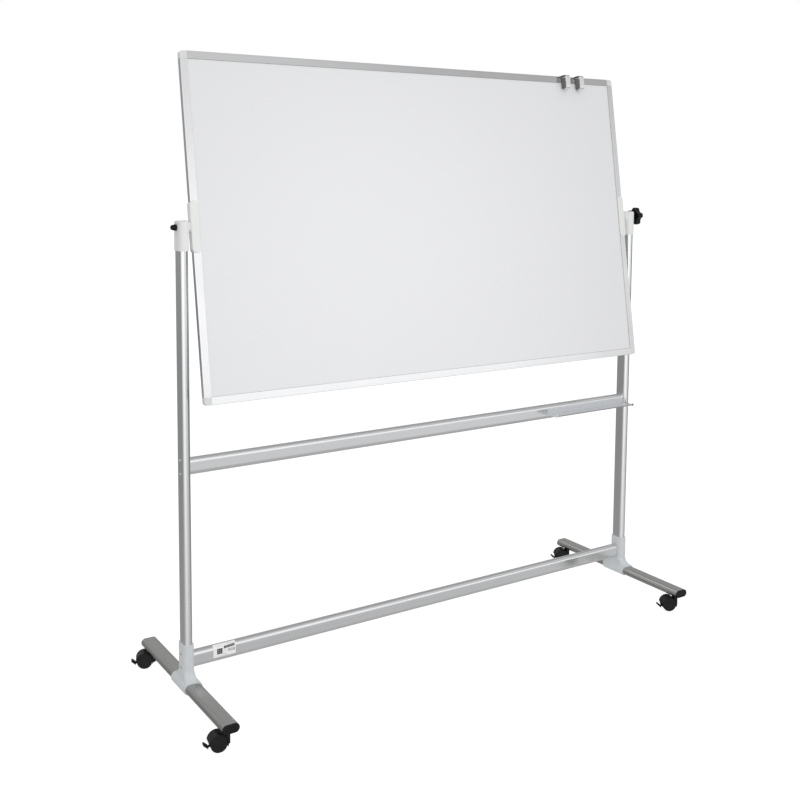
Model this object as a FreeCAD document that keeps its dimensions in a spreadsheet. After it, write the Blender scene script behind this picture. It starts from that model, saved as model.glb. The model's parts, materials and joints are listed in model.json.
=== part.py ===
import FreeCAD, Part

import math
import os
import re

import Sketcher
from FreeCAD import Placement, Rotation, Vector

# A rolling double-sided whiteboard.  A flat-oval aluminium stand on four twin-wheel casters
# carries a framed board that turns about a horizontal pivot and is held by a star knob.
#
# Millimetres and degrees.  +X runs to the user's right, +Y away from the user, +Z up.
# The origin is on the floor under the middle of the board.
# Board pieces are drawn upright in the board's own frame, whose origin is the middle of the
# board: X along the board, -Y out of its front face, Z up the board.

SIZES = {
    # board
    "board_width": 1500,
    "board_height": 900,
    "board_depth": 15,
    "board_tilt": -9,
    "pivot_height": 1245,
    "frame_face": 20,
    "frame_wall": 1.5,
    "frame_web": 8,
    "frame_round": 1,
    "groove_depth": 0.4,
    "groove_width": 1,
    "groove_outer": 5,
    "groove_inner": 14,
    "sheet_thickness": 0.5,
    "sheet_gap": 0.5,
    "core_gap": 0.1,
    "corner_round": 9,
    "corner_proud": 0.3,
    "corner_edge": 0.8,
    "tongue_length": 25,
    "tongue_gap": 0.1,
    # pivot
    "bracket_lap": 20,
    "bracket_wall": 3,
    "bracket_height": 133,
    "bracket_corner": 11,
    "bracket_edge": 2.4,
    "bracket_boss_base": 26,
    "bracket_boss_face": 20,
    "bracket_boss_height": 3.7,
    "stud_diameter": 8,
    "stud_flange": 14,
    "stud_flange_thickness": 1.6,
    "stud_reach_left": 797.5,
    "stud_reach_right": 811,
    "running_gap": 0.06,
    "turning_gap": 0.3,
    "washer_diameter": 24,
    "washer_thickness": 1.2,
    "nut_diameter": 16.5,
    "nut_collar": 2.5,
    "nut_height": 14.3,
    "nut_tip": 11,
    "nut_round": 5,
    "knob_diameter": 57,
    "knob_lobes": 5,
    "knob_hub": 22,
    "knob_hub_height": 12,
    "knob_height": 31,
    "knob_scallop": 28,
    "knob_scallop_centre": 35.5,
    "knob_lobe_round": 3,
    "knob_edge_round": 2.4,
    "knob_bore_gap": 0.08,
    "knob_bore_end": 1,
    # stand tubes
    "upright_x": 775.6,
    "tube_depth": 45,
    "tube_width": 23,
    "tube_wall": 1.6,
    "upright_above_pivot": 13,
    "upper_bar": 632.7,
    "lower_bar": 119.5,
    "stud_hole": 9,
    "port_offset": 18,
    "port_diameter": 8,
    "port_hole": 4.2,
    "screw_hole": 4.4,
    "screw_diameter": 4,
    "screw_length": 53,
    "screw_head": 7,
    "screw_head_height": 2.2,
    "screw_head_round": 1,
    "cap_wall": 2.3,
    "cap_below_pivot": 58.7,
    "cap_above_pivot": 16.6,
    "cap_round": 5,
    "cap_boss_base": 36,
    "cap_boss_face": 28,
    "cap_boss_height": 3.6,
    "cap_boss_root": 6,
    # feet
    "foot_height": 60,
    "foot_length": 560,
    "caster_y": 251.4,
    "end_cap_plate": 4,
    "end_cap_round": 1.6,
    "end_cap_rim": 3.6,
    "end_cap_recess": 0.8,
    "end_cap_plug": 12,
    "plug_gap": 0.1,
    "connector_wall": 3.5,
    "connector_top": 166,
    "connector_half_length": 45,
    "connector_rim": 1,
    "saddle_crease": 97,
    "saddle_shoulder": 17.5,
    "saddle_flat": 0.4,
    "saddle_corner": 6,
    "saddle_hem": 5,
    "saddle_hem_spread": 3.5,
    "counterbore": 8,
    "counterbore_depth": 2.5,
    # tray and label
    "tray_left": 438,
    "tray_wall": 1.5,
    "tray_flange": 11.4,
    "tray_floor": 5.8,
    "tray_depth": 47,
    "tray_lip": 5.2,
    "tray_lip_return": 4,
    "tray_bend": 2.4,
    "tray_cap": 4,
    "tray_cap_proud": 1,
    "tray_cap_lip": 7.5,
    "tray_cap_edge": 0.8,
    "tray_upright_gap": 1,
    "label_left": -705,
    "label_length": 64,
    "label_foot": -9.5,
    "label_skin": 0.3,
    "label_back": 3,
    # clips
    "clip_left_x": 539.5,
    "clip_right_x": 598,
    "clip_width": 18,
    "clip_sheet": 1.2,
    "clip_gap": 0.6,
    "clip_back_drop": 25,
    "clip_top_gap": 0.6,
    "clip_reach": 30,
    "clip_drop": 42,
    "clip_return": 38,
    "clip_bend": 2.2,
    "clip_shoulder_bend": 6,
    "clip_bottom_bend": 7,
    # casters
    "swivel_front_left": -10,
    "swivel_front_right": -26,
    "swivel_rear_left": -20,
    "swivel_rear_right": -25,
    "trail": 22,
    "wheel_radius": 21,
    "wheel_inner": 4.7,
    "wheel_width": 12,
    "wheel_round": 1.8,
    "wheel_recess": 0.8,
    "wheel_recess_outer": 15,
    "wheel_recess_inner": 8,
    "axle_diameter": 5,
    "axle_half_length": 15,
    "axle_gap": 0.05,
    "axle_end_gap": 0.3,
    "hood_top": 46.8,
    "hood_width": 35,
    "fender_inner": 21.8,
    "fender_outer": 24,
    "fender_round": 1.6,
    "fender_lift": 3.3,
    "web_half": 4.2,
    "hub_radius": 6,
    "housing_radius": 9,
    "housing_bottom": 14,
    "stem_diameter": 7,
    "stem_bottom": 30,
    "stem_top": 66,
    "stem_collar": 14,
    "stem_collar_thickness": 1.4,
    "pedal_slot": 1.6,
    "ring_gap": 0.6,
    "slot_height": 9,
    "pedal_half": 1.3,
    "pedal_ring": 5.5,
    "pedal_arm_half": 3.6,
    "pedal_root_back": 24.4,
    "pedal_root_drop": 8.6,
    "pedal_run": 12.3,
    "pedal_lift": 10.3,
    "pedal_pad_half": 3.4,
    "pedal_width": 14,
    "pedal_round": 1,
    "pedal_tip_round": 2.2,
}

NEAR = 0.01
OPEN = 60
ALONG = {"X": Rotation(Vector(0, 1, 0), 90), "Y": Rotation(Vector(1, 0, 0), -90), "Z": Rotation()}
NODES = {}

doc = FreeCAD.newDocument("RollingWhiteboard")
sheet = doc.addObject("Spreadsheet::Sheet", "Sizes")
for row, (alias, amount) in enumerate(SIZES.items(), 1):
    sheet.set(f"A{row}", alias)
    sheet.set(f"B{row}", str(amount))
    sheet.setAlias(f"B{row}", alias)
doc.recompute()


# Helpers: expressions

def linked(expression):
    """The expression with each size's name pointing at its spreadsheet cell."""
    def point(word):
        return f"Sizes.{word.group()}" if word.group() in SIZES else word.group()
    return re.sub(r"[a-z][a-z_]*", point, expression)


def number(expression):
    """The expression's present value."""
    def amount(word):
        return str(sheet.get(word.group())) if word.group() in SIZES else word.group()
    return FreeCAD.Units.parseQuantity(re.sub(r"[a-z][a-z_]*", amount, expression)).Value


def bind(thing, prop, expression):
    thing.setExpression(prop, linked(expression))


def at(thing, x="0", y="0", z="0", turn="0", about=Vector(0, 0, 1)):
    """Places a thing at a point, turned about an axis."""
    thing.Placement = Placement(Vector(), Rotation(about, 1))
    bind(thing, "Placement.Base.x", x)
    bind(thing, "Placement.Base.y", y)
    bind(thing, "Placement.Base.z", z)
    bind(thing, "Placement.Rotation.Angle", turn)


def on_board(thing, x="0"):
    """Places a thing that is drawn in the board's frame."""
    at(thing, x, "0", "pivot_height", "board_tilt", Vector(1, 0, 0))


def node(name, thing):
    thing.Label = name
    NODES[name] = thing
    return thing


# Helpers: sketches

def new_body(name):
    return doc.addObject("PartDesign::Body", name)


def new_sketch(body, plane, shift=("0", "0", "0")):
    """A sketch on one of the body's origin planes, moved by shift in the sketch's own axes."""
    sketch = body.newObject("Sketcher::SketchObject", f"{body.Name}_sketch")
    support = next(item for item in body.Origin.OriginFeatures if item.Role == f"{plane}_Plane")
    sketch.AttachmentSupport = [(support, "")]
    sketch.MapMode = "FlatFace"
    for axis, distance in zip("xyz", shift):
        bind(sketch, f"AttachmentOffset.Base.{axis}", distance)
    return sketch


def hold(sketch, constraints):
    """Adds constraints given as (constraint, expression or None)."""
    for constraint, expression in constraints:
        index = sketch.addConstraint(constraint)
        if expression is not None:
            bind(sketch, f"Constraints[{index}]", expression)


def arc_between(start, end, radius, side):
    """The arc from start to end whose centre is on the left (side 1) or the right (side -1)."""
    chord = end - start
    left = Vector(-chord.y, chord.x, 0).normalize()
    rise = math.sqrt(radius ** 2 - (chord.Length / 2) ** 2)
    centre = (start + end) * 0.5 + left * rise * side
    ends = [start, end] if side > 0 else [end, start]
    angles = [math.atan2(point.y - centre.y, point.x - centre.x) for point in ends]
    return Part.ArcOfCircle(Part.Circle(centre, Vector(0, 0, 1), radius), *angles)


def outline(sketch, points, arcs=None):
    """A closed outline through points, each a pair of expressions.

    arcs maps a corner's number to (radius, side) where the stretch after it is an arc."""
    arcs = arcs or {}
    places = [Vector(number(across), number(up), 0) for across, up in points]
    count = len(points)
    first = sketch.GeometryCount
    starts = []
    for index, place in enumerate(places):
        following = places[(index + 1) % count]
        radius, side = arcs.get(index, ("0", 0))
        if side:
            sketch.addGeometry(arc_between(place, following, number(radius), side))
        else:
            sketch.addGeometry(Part.LineSegment(place, following))
        starts.append(1 if side >= 0 else 2)
    for index, (across, up) in enumerate(points):
        later = (index + 1) % count
        here = (first + index, starts[index])
        there = (first + later, starts[later])
        joined = Sketcher.Constraint("Coincident", first + index, 3 - starts[index], *there)
        sideways = Sketcher.Constraint("DistanceX", -1, 1, *here, places[index].x)
        upward = Sketcher.Constraint("DistanceY", -1, 1, *here, places[index].y)
        hold(sketch, [(joined, None), (sideways, across), (upward, up)])
    for index, (radius, side) in arcs.items():
        hold(sketch, [(Sketcher.Constraint("Radius", first + index, number(radius)), radius)])


def rectangle(sketch, low, high):
    outline(sketch, [low, (high[0], low[1]), high, (low[0], high[1])])


def circle(sketch, across, up, diameter):
    centre = Vector(number(across), number(up), 0)
    ring = sketch.addGeometry(Part.Circle(centre, Vector(0, 0, 1), number(diameter) / 2))
    hold(sketch, [
        (Sketcher.Constraint("DistanceX", -1, 1, ring, 3, centre.x), across),
        (Sketcher.Constraint("DistanceY", -1, 1, ring, 3, centre.y), up),
        (Sketcher.Constraint("Diameter", ring, number(diameter)), diameter),
    ])


def stadium(sketch, length, width, upright):
    """A flat oval: two straight sides and two half circles, its long way across or up the sketch."""
    half = (number(length) - number(width)) / 2
    radius = number(width) / 2
    lean = math.pi / 2 if upright else 0

    def spot(along, aside):
        return Vector(-aside, along, 0) if upright else Vector(along, aside, 0)

    def end_arc(along, start):
        ring = Part.Circle(spot(along, 0), Vector(0, 0, 1), radius)
        return Part.ArcOfCircle(ring, start + lean, start + lean + math.pi)

    upper = sketch.addGeometry(Part.LineSegment(spot(-half, radius), spot(half, radius)))
    far = sketch.addGeometry(end_arc(half, -math.pi / 2))
    lower = sketch.addGeometry(Part.LineSegment(spot(half, -radius), spot(-half, -radius)))
    near = sketch.addGeometry(end_arc(-half, math.pi / 2))
    span = "DistanceY" if upright else "DistanceX"
    hold(sketch, [
        (Sketcher.Constraint("Tangent", upper, 2, far, 2), None),
        (Sketcher.Constraint("Tangent", far, 1, lower, 1), None),
        (Sketcher.Constraint("Tangent", lower, 2, near, 2), None),
        (Sketcher.Constraint("Tangent", near, 1, upper, 1), None),
        (Sketcher.Constraint("Vertical" if upright else "Horizontal", upper), None),
        (Sketcher.Constraint("Symmetric", near, 3, far, 3, -1, 1), None),
        (Sketcher.Constraint("PointOnObject", far, 3, -2 if upright else -1), None),
        (Sketcher.Constraint("Radius", far, radius), f"({width})/2"),
        (Sketcher.Constraint(span, near, 3, far, 3, 2 * half), f"({length})-({width})"),
    ])


# Helpers: features

def pad(body, sketch, length, symmetric=False, reverse=False):
    feature = body.newObject("PartDesign::Pad", f"{body.Name}_pad")
    feature.Profile = sketch
    feature.SideType = "Symmetric" if symmetric else "One side"
    feature.Reversed = reverse
    bind(feature, "Length", length)
    doc.recompute()
    return feature


def less(body, feature, before):
    """Checks that a feature took material away."""
    doc.recompute()
    if not feature.Shape.Volume < before - NEAR:
        raise ValueError(f"{body.Name}: {feature.Name} removes nothing")
    return feature


def pocket_through(body, sketch):
    before = body.Shape.Volume
    feature = body.newObject("PartDesign::Pocket", f"{body.Name}_pocket")
    feature.Profile = sketch
    feature.SideType = "Symmetric"
    feature.Type = "ThroughAll"
    return less(body, feature, before)


def pocket(body, sketch, depth, reverse=False):
    before = body.Shape.Volume
    feature = body.newObject("PartDesign::Pocket", f"{body.Name}_pocket")
    feature.Profile = sketch
    feature.SideType = "One side"
    feature.Reversed = reverse
    bind(feature, "Length", depth)
    return less(body, feature, before)


def turned(body, axis, profile, centre=("0", "0", "0"), cutting=False):
    """A turned solid, or a turned hollow, from (place along the axis, radius) pairs."""
    plane, line = {"X": ("XY", "H_Axis"), "Y": ("XY", "V_Axis"), "Z": ("XZ", "V_Axis")}[axis]
    sketch = new_sketch(body, plane, centre)
    outline(sketch, profile if axis == "X" else [(radius, along) for along, radius in profile])
    before = body.Shape.Volume if cutting else 0
    kind = "Groove" if cutting else "Revolution"
    feature = body.newObject(f"PartDesign::{kind}", f"{body.Name}_{kind}")
    feature.Profile = sketch
    feature.ReferenceAxis = (sketch, [line])
    feature.Angle = 360
    if cutting:
        less(body, feature, before)
    doc.recompute()
    return feature


def edges_at(body, *sides):
    """Names of the edges that lie wholly on the given sides of the body, such as "z+"."""
    box = body.Tip.Shape.optimalBoundingBox(False, False)
    limits = {"x-": box.XMin, "x+": box.XMax, "y-": box.YMin, "y+": box.YMax, "z-": box.ZMin, "z+": box.ZMax}
    names = []
    for index, edge in enumerate(body.Tip.Shape.Edges, 1):
        first, last = edge.ParameterRange
        points = [edge.valueAt(first + (last - first) * step / 4) for step in range(5)]
        if all(abs(getattr(point, side[0]) - limits[side]) < NEAR for point in points for side in sides):
            names.append(f"Edge{index}")
    return names


def edges_through(body, axis, places):
    """Names of the straight edges along an axis that pass through the given places across it."""
    across = [letter for letter in "xyz" if letter != axis]
    wanted = [[number(value) for value in place] for place in places]
    names = []
    for index, edge in enumerate(body.Tip.Shape.Edges, 1):
        start, end = edge.valueAt(edge.FirstParameter), edge.valueAt(edge.LastParameter)
        spot = [getattr(start, letter) for letter in across]
        straight = math.dist(spot, [getattr(end, letter) for letter in across]) < NEAR
        long = abs(getattr(start, axis) - getattr(end, axis)) > NEAR
        if straight and long and any(math.dist(spot, place) < NEAR for place in wanted):
            names.append(f"Edge{index}")
    return names


def edges_along(body, axis):
    """Names of the straight edges that run along an axis."""
    names = []
    for index, edge in enumerate(body.Tip.Shape.Edges, 1):
        run = edge.valueAt(edge.LastParameter) - edge.valueAt(edge.FirstParameter)
        if run.Length > NEAR and abs(abs(getattr(run, axis)) - run.Length) < NEAR:
            names.append(f"Edge{index}")
    return names


def round_edges(body, names, radius):
    feature = body.newObject("PartDesign::Fillet", f"{body.Name}_round")
    feature.Base = (feature.BaseFeature, names)
    bind(feature, "Radius", radius)
    doc.recompute()
    return feature


# Helpers: primitives and booleans

def cylinder(name, axis, radius, length, start):
    """A cylinder that runs from the start point along an axis."""
    solid = doc.addObject("Part::Cylinder", name)
    bind(solid, "Radius", radius)
    bind(solid, "Height", length)
    solid.Placement = Placement(Vector(), ALONG[axis])
    for letter, distance in zip("xyz", start):
        bind(solid, f"Placement.Base.{letter}", distance)
    return solid


def block(name, low, high):
    solid = doc.addObject("Part::Box", name)
    for letter, side, start, end in zip("xyz", ("Length", "Width", "Height"), low, high):
        bind(solid, side, f"({end})-({start})")
        bind(solid, f"Placement.Base.{letter}", start)
    return solid


def fuse(name, *solids):
    whole = doc.addObject("Part::MultiFuse", name)
    whole.Shapes = list(solids)
    whole.Refine = True
    return whole


def common(name, *solids):
    shared = doc.addObject("Part::MultiCommon", name)
    shared.Shapes = list(solids)
    return shared


def cut(name, base, *tools):
    result = doc.addObject("Part::Cut", name)
    result.Base = base
    result.Tool = tools[0] if len(tools) == 1 else fuse(f"{name}_tools", *tools)
    doc.recompute()
    if not result.Shape.Volume < base.Shape.Volume - NEAR:
        raise ValueError(f"{name}: the cut removes nothing")
    return result


def group(name, solids):
    """Several like pieces kept as separate solids of one node."""
    pieces = doc.addObject("Part::Compound", name)
    pieces.Links = solids
    return node(name, pieces)


# Board

def frame_profile():
    """The frame's section: (out of the board's middle plane, in from the board's edge)."""
    face = [("board_depth/2", "0")]
    for start in ("groove_outer", "groove_inner"):
        face.append(("board_depth/2", start))
        face.append(("board_depth/2-groove_depth", start))
        face.append(("board_depth/2-groove_depth", f"{start}+groove_width"))
        face.append(("board_depth/2", f"{start}+groove_width"))
    face.append(("board_depth/2", "frame_face"))
    face.append(("board_depth/2-frame_wall", "frame_face"))
    face.append(("board_depth/2-frame_wall", "frame_web+frame_wall"))
    back = [(f"-({out})", inward) for out, inward in reversed(face)]
    return face + back


def frame_member(name, edge, sign, level):
    """One frame member; level members run along X, the others up the board."""
    def turned_to_side(out, inward):
        reach = f"{sign}*({edge}/2-({inward}))"
        return (out, reach) if level else (reach, out)

    body = node(name, new_body(name))
    sketch = new_sketch(body, "YZ" if level else "XY")
    outline(sketch, [turned_to_side(out, inward) for out, inward in frame_profile()])
    inside = [
        turned_to_side("board_depth/2-frame_wall", "frame_wall"),
        turned_to_side("board_depth/2-frame_wall", "frame_web"),
        turned_to_side("-(board_depth/2-frame_wall)", "frame_web"),
        turned_to_side("-(board_depth/2-frame_wall)", "frame_wall"),
    ]
    outline(sketch, inside)
    pad(body, sketch, f"{'board_width' if level else 'board_height'}-2*frame_face", symmetric=True)
    outer = ("z" if level else "x") + ("+" if sign > 0 else "-")
    round_edges(body, edges_at(body, outer, "y+") + edges_at(body, outer, "y-"), "frame_round")
    on_board(body)


def corner_cap(name, right, up):
    """A moulded corner with a tongue into each of the two members that meet there."""
    body = node(name, new_body(name))
    corner = new_sketch(body, "XZ")
    low = (f"{right}*(board_width/2-frame_face)", f"{up}*(board_height/2-frame_face)")
    rectangle(corner, low, (f"{right}*board_width/2", f"{up}*board_height/2"))
    pad(body, corner, "board_depth+2*corner_proud", symmetric=True)
    outer_x = "x+" if right > 0 else "x-"
    outer_z = "z+" if up > 0 else "z-"
    round_edges(body, edges_at(body, outer_x, outer_z), "corner_round")
    round_edges(body, edges_at(body, "y-") + edges_at(body, "y+"), "corner_edge")
    tongues = new_sketch(body, "XZ")
    near, far = "frame_wall+tongue_gap", "frame_web-tongue_gap"
    base, tip = "frame_face-corner_edge", "frame_face+tongue_length"
    level = [(base, near), (tip, far)]
    plumb = [(near, base), (far, tip)]
    for points in (level, plumb):
        ends = [(f"{right}*(board_width/2-({x}))", f"{up}*(board_height/2-({z}))") for x, z in points]
        rectangle(tongues, *ends)
    pad(body, tongues, "board_depth-2*frame_wall-2*tongue_gap", symmetric=True)
    on_board(body)


def writing_surface(name, side):
    """An enamelled steel sheet, set back behind the frame's lip; side 1 is the front."""
    body = node(name, new_body(name))
    face = new_sketch(body, "XZ", ("0", "0", f"{side}*(board_depth/2-frame_wall-sheet_thickness)"))
    half = ("board_width/2-frame_face-sheet_gap", "board_height/2-frame_face-sheet_gap")
    rectangle(face, (f"-({half[0]})", f"-({half[1]})"), half)
    pad(body, face, "sheet_thickness", reverse=side < 0)
    on_board(body)


def board_core():
    """The stiff panel between the sheets; it reaches into the frame and clears the corner caps."""
    body = node("board_core", new_body("board_core"))
    face = new_sketch(body, "XZ")
    rim = "frame_web+frame_wall+core_gap"
    notch = "frame_face+core_gap"
    quarter = [(notch, rim), (notch, notch), (rim, notch)]
    corners = []
    for right, up in ((-1, -1), (1, -1), (1, 1), (-1, 1)):
        steps = quarter if right * up < 0 else reversed(quarter)
        for inward_x, inward_z in steps:
            corners.append((f"{right}*(board_width/2-({inward_x}))", f"{up}*(board_height/2-({inward_z}))"))
    outline(face, corners)
    pad(body, face, "board_depth-2*frame_wall-2*sheet_thickness", symmetric=True)
    on_board(body)


# Pivot

def sided(side, profile):
    """A turned profile on the right (side 1) or the left (side -1) of the board."""
    return [(f"{side}*({along})", radius) for along, radius in profile]


def pivot_bracket(name, side):
    """A plastic saddle over the frame's edge, with a conical boss and a seat for the stud."""
    body = node(name, new_body(name))
    plate = new_sketch(body, "XZ")
    outer = "board_width/2+bracket_wall"
    low = (f"{side}*(board_width/2-bracket_lap)", "-bracket_height/2")
    rectangle(plate, low, (f"{side}*({outer})", "bracket_height/2"))
    pad(body, plate, "board_depth+2*bracket_wall", symmetric=True)
    corners = [edges_at(body, across, up) for across in ("x-", "x+") for up in ("z-", "z+")]
    round_edges(body, [name for names in corners for name in names], "bracket_corner")
    round_edges(body, edges_at(body, "y-") + edges_at(body, "y+"), "bracket_edge")
    turned(body, "X", sided(side, [
        ("board_width/2+1", "0"),
        ("board_width/2+1", "bracket_boss_base/2"),
        (outer, "bracket_boss_base/2"),
        (f"{outer}+bracket_boss_height", "bracket_boss_face/2"),
        (f"{outer}+bracket_boss_height", "0"),
    ]))
    channel = new_sketch(body, "XY")
    inner = f"{side}*(board_width/2-bracket_lap-1)"
    rectangle(channel, (inner, "-board_depth/2"), (f"{side}*board_width/2", "board_depth/2"))
    pocket_through(body, channel)
    turned(body, "X", sided(side, [
        ("board_width/2", "0"),
        ("board_width/2", "stud_flange/2"),
        ("board_width/2+stud_flange_thickness", "stud_flange/2"),
        ("board_width/2+stud_flange_thickness", "stud_diameter/2"),
        (f"{outer}+bracket_boss_height+1", "stud_diameter/2"),
        (f"{outer}+bracket_boss_height+1", "0"),
    ]), cutting=True)
    on_board(body)


def pivot_stud(name, side, reach):
    body = node(name, new_body(name))
    turned(body, "X", sided(side, [
        ("board_width/2", "0"),
        ("board_width/2", "stud_flange/2"),
        ("board_width/2+stud_flange_thickness", "stud_flange/2"),
        ("board_width/2+stud_flange_thickness", "stud_diameter/2"),
        (reach, "stud_diameter/2"),
        (reach, "0"),
    ]))
    on_board(body)


CAP_OUTSIDE = "upright_x+tube_width/2+cap_wall"


def dome_nut():
    """The closed nut on the left stud: a short collar, a cone and a rounded tip."""
    body = node("dome_nut", new_body("dome_nut"))
    seat = f"{CAP_OUTSIDE}+turning_gap"
    turned(body, "X", sided(-1, [
        (seat, "0"),
        (seat, "nut_diameter/2"),
        (f"{seat}+nut_collar", "nut_diameter/2"),
        (f"{seat}+nut_height", "nut_tip/2"),
        (f"{seat}+nut_height", "0"),
    ]))
    round_edges(body, edges_at(body, "x-"), "nut_round")
    turned(body, "X", sided(-1, [
        (f"{seat}-1", "0"),
        (f"{seat}-1", "stud_diameter/2"),
        ("stud_reach_left", "stud_diameter/2"),
        ("stud_reach_left", "0"),
    ]), cutting=True)
    on_board(body)


def star_knob():
    """The clamping knob on the right stud: scalloped lobes on a hub, with a blind bore."""
    body = node("star_knob", new_body("star_knob"))
    seat = f"{CAP_OUTSIDE}+turning_gap"
    disc = new_sketch(body, "YZ", ("0", "0", f"{seat}+knob_hub_height"))
    circle(disc, "0", "0", "knob_diameter")
    pad(body, disc, "knob_height-knob_hub_height")
    scallop = new_sketch(body, "YZ")
    circle(scallop, "knob_scallop_centre", "0", "knob_scallop")
    first = pocket_through(body, scallop)
    pattern = body.newObject("PartDesign::PolarPattern", "star_knob_scallops")
    pattern.Originals = [first]
    pattern.Axis = (next(item for item in body.Origin.OriginFeatures if item.Role == "X_Axis"), [""])
    pattern.Angle = 360
    bind(pattern, "Occurrences", "knob_lobes")
    body.Tip = pattern
    doc.recompute()
    round_edges(body, edges_along(body, "x"), "knob_lobe_round")
    round_edges(body, edges_at(body, "x-") + edges_at(body, "x+"), "knob_edge_round")
    turned(body, "X", [
        (seat, "0"),
        (seat, "knob_hub/2"),
        (f"{seat}+knob_hub_height+1", "knob_hub/2"),
        (f"{seat}+knob_hub_height+1", "0"),
    ])
    turned(body, "X", [
        (f"{seat}-1", "0"),
        (f"{seat}-1", "stud_diameter/2+knob_bore_gap"),
        ("stud_reach_right+knob_bore_end", "stud_diameter/2+knob_bore_gap"),
        ("stud_reach_right+knob_bore_end", "0"),
    ], cutting=True)
    on_board(body)


# Clips

def clip(name, place):
    """A sprung strip that hooks over the frame and closes to a loop in front of the board."""
    body = node(name, new_body(name))
    front = "board_depth/2+clip_gap"
    top = "board_height/2+clip_top_gap"
    foot = "board_height/2-clip_drop"
    back_foot = "board_height/2-clip_back_drop"
    outer = [
        (f"-({front}+clip_sheet)", back_foot),
        (f"-({front}+clip_sheet)", f"{top}+clip_sheet"),
        ("clip_reach", f"{top}+clip_sheet"),
        ("clip_reach", foot),
        (front, foot),
        (front, f"{foot}+clip_return"),
    ]
    inner = [
        (f"{front}+clip_sheet", f"{foot}+clip_return"),
        (f"{front}+clip_sheet", f"{foot}+clip_sheet"),
        ("clip_reach-clip_sheet", f"{foot}+clip_sheet"),
        ("clip_reach-clip_sheet", top),
        (f"-({front})", top),
        (f"-({front})", back_foot),
    ]
    strip = [(f"-({out})", up) for out, up in outer + inner]
    sketch = new_sketch(body, "YZ")
    outline(sketch, strip)
    pad(body, sketch, "clip_width", symmetric=True)
    round_edges(body, edges_through(body, "x", [strip[1]]), "clip_bend+clip_sheet")
    round_edges(body, edges_through(body, "x", [strip[10]]), "clip_bend")
    round_edges(body, edges_through(body, "x", [strip[2]]), "clip_shoulder_bend+clip_sheet")
    round_edges(body, edges_through(body, "x", [strip[9]]), "clip_shoulder_bend")
    round_edges(body, edges_through(body, "x", [strip[3], strip[4]]), "clip_bottom_bend+clip_sheet")
    round_edges(body, edges_through(body, "x", [strip[7], strip[8]]), "clip_bottom_bend")
    on_board(body, place)


# Stand

def tube_section(sketch, upright, depth="tube_depth", width="tube_width", wall="tube_wall"):
    stadium(sketch, depth, width, upright)
    stadium(sketch, f"{depth}-2*{wall}", f"{width}-2*{wall}", upright)


def upright(name, side):
    """A flat-oval upright with holes for the pivot stud and the four crossbar screws."""
    body = node(name, new_body(name))
    bottom = "foot_height+tube_width/2+connector_wall"
    section = new_sketch(body, "XY", ("0", "0", bottom))
    tube_section(section, upright=True)
    pad(body, section, f"pivot_height+upright_above_pivot-({bottom})")
    holes = new_sketch(body, "YZ")
    circle(holes, "0", "pivot_height", "stud_hole")
    for bar in ("upper_bar", "lower_bar"):
        circle(holes, "0", f"{bar}-port_offset", "screw_hole")
        circle(holes, "0", f"{bar}+port_offset", "screw_hole")
    pocket_through(body, holes)
    at(body, f"{side}*upright_x")


def upright_cap(name, side):
    """A moulded cap over the upright's head; its boss faces the board."""
    body = node(name, new_body(name))
    section = new_sketch(body, "XY", ("0", "0", "-cap_below_pivot"))
    stadium(section, "tube_depth+2*cap_wall", "tube_width+2*cap_wall", upright=True)
    pad(body, section, "cap_below_pivot+cap_above_pivot")
    round_edges(body, edges_at(body, "z+"), "cap_round")
    face = f"{-side}*(tube_width/2+cap_wall)"
    root = f"{-side}*(tube_width/2+cap_wall-cap_boss_root)"
    tip = f"{-side}*(tube_width/2+cap_wall+cap_boss_height)"
    boss = [(root, "0"), (root, "cap_boss_base/2"), (face, "cap_boss_base/2")]
    turned(body, "X", boss + [(tip, "cap_boss_face/2"), (tip, "0")])
    cavity = new_sketch(body, "XY", ("0", "0", "upright_above_pivot"))
    stadium(cavity, "tube_depth", "tube_width", upright=True)
    pocket(body, cavity, "cap_below_pivot+upright_above_pivot+1")
    bore = new_sketch(body, "YZ")
    circle(bore, "0", "0", "stud_diameter+2*running_gap")
    pocket_through(body, bore)
    at(body, f"{side}*upright_x", "0", "pivot_height")


def friction_washers():
    washers = []
    for side in (-1, 1):
        body = new_body("friction_washer")
        face = "upright_x-tube_width/2-cap_wall-cap_boss_height"
        turned(body, "X", sided(side, [
            (face, "stud_diameter/2+running_gap"),
            (face, "washer_diameter/2"),
            (f"{face}-washer_thickness", "washer_diameter/2"),
            (f"{face}-washer_thickness", "stud_diameter/2+running_gap"),
        ]))
        at(body, z="pivot_height")
        washers.append(body)
    group("friction_washers", washers)


def crossbar(name, height, reach):
    """A flat-oval crossbar with two screw ports along its inside."""
    body = node(name, new_body(name))
    section = new_sketch(body, "YZ")
    tube_section(section, upright=True)
    pad(body, section, f"2*({reach})", symmetric=True)
    ports = new_sketch(body, "YZ")
    for up in ("port_offset", "-port_offset"):
        circle(ports, "0", up, "port_diameter")
        circle(ports, "0", up, "port_hole")
    pad(body, ports, f"2*({reach})", symmetric=True)
    at(body, z=height)


def crossbar_screws():
    """Pan-head screws: the upper ones bear on the uprights, the lower ones in the connectors."""
    seats = [("upper_bar", "upright_x+tube_width/2")]
    seats.append(("lower_bar", "upright_x+tube_width/2+connector_wall-counterbore_depth"))
    screws = []
    for side, turn in ((-1, "0"), (1, "180")):
        for bar, seat in seats:
            for up in ("port_offset", "-port_offset"):
                body = new_body("crossbar_screw")
                turned(body, "X", [
                    ("-screw_head_height", "0"),
                    ("-screw_head_height", "screw_head/2"),
                    ("0", "screw_head/2"),
                    ("0", "screw_diameter/2"),
                    ("screw_length", "screw_diameter/2"),
                    ("screw_length", "0"),
                ])
                round_edges(body, edges_at(body, "x-"), "screw_head_round")
                at(body, f"{side}*({seat})", "0", f"{bar}+{up}", turn)
                screws.append(body)
    group("crossbar_screws", screws)


# Feet

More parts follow.
